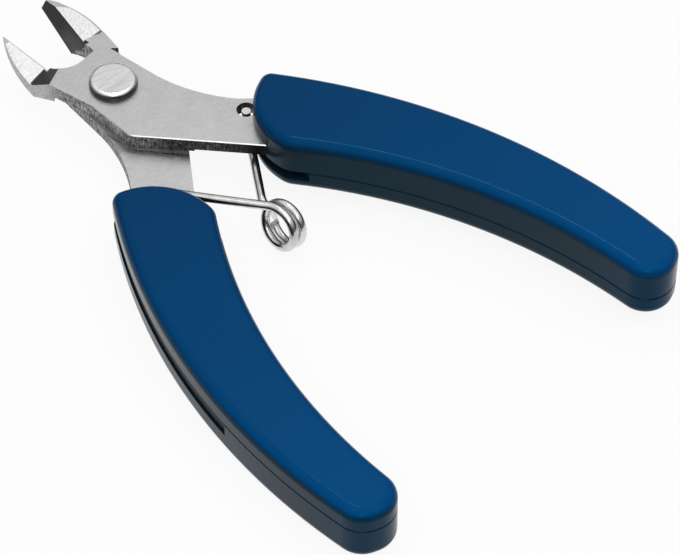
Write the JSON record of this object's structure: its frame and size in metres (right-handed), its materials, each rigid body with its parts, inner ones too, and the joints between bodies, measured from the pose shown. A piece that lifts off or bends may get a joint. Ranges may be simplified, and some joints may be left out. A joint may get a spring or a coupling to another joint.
{
  "type": "precision side cutter",
  "caption": "Small flush side cutter: two lapped steel plates on a rivet, angled ground jaws, wire return spring and curved moulded grips, sprung open at rest.",
  "frame": {"origin": "middle of the plan box of the open tool, at the height of its lowest face; the pivot axis crosses it towards the jaws", "axes": "+Y from the grips to the jaws, +Z along the rivet towards its broad head, +X across the jaws"},
  "size_m": [0.0742, 0.1156, 0.0133],
  "materials": {
    "plate_steel": "fine brushed, ground jaws",
    "rivet_steel": "fine brushed",
    "grip_plastic": "smooth gloss",
    "spring_wire": "bright drawn wire"
  },
  "bodies": {
    "rear_half": {"rear_plate": "plate_steel", "rear_grip_upper": "grip_plastic", "rear_grip_lower": "grip_plastic", "pivot_rivet": "rivet_steel"},
    "front_half": {"front_plate": "plate_steel", "front_grip_upper": "grip_plastic", "front_grip_lower": "grip_plastic"},
    "spring_rear": {"spring_rear_arm": "spring_wire"},
    "spring_front": {"spring_front_arm": "spring_wire"}
  },
  "joints": [
    {"name": "jaw_pivot", "type": "hinge", "parent": "rear_half", "child": "front_half", "pos_m": [0, 0.03531, 0.00665], "axis": [0, 0, -1], "range_deg": [0, 22.4], "stiffness_Nm_per_rad": 1},
    {"name": "spring_hook", "type": "hinge", "parent": "rear_half", "child": "spring_rear", "pos_m": [-0.01122, 0.01571, 0.00665], "axis": [0, 0, -1], "range_deg": [0, 25.04]},
    {"name": "spring_coil", "type": "hinge", "parent": "spring_rear", "child": "spring_front", "pos_m": [0.00001, -0.00009, 0.00538], "axis": [0, 0, 1], "range_deg": [0, 27.43]}
  ],
  "couplings": [
    {"joint": "spring_hook", "follows": "jaw_pivot", "ratio": 1.1045},
    {"joint": "spring_coil", "follows": "jaw_pivot", "ratio": 1.2109}
  ]
}
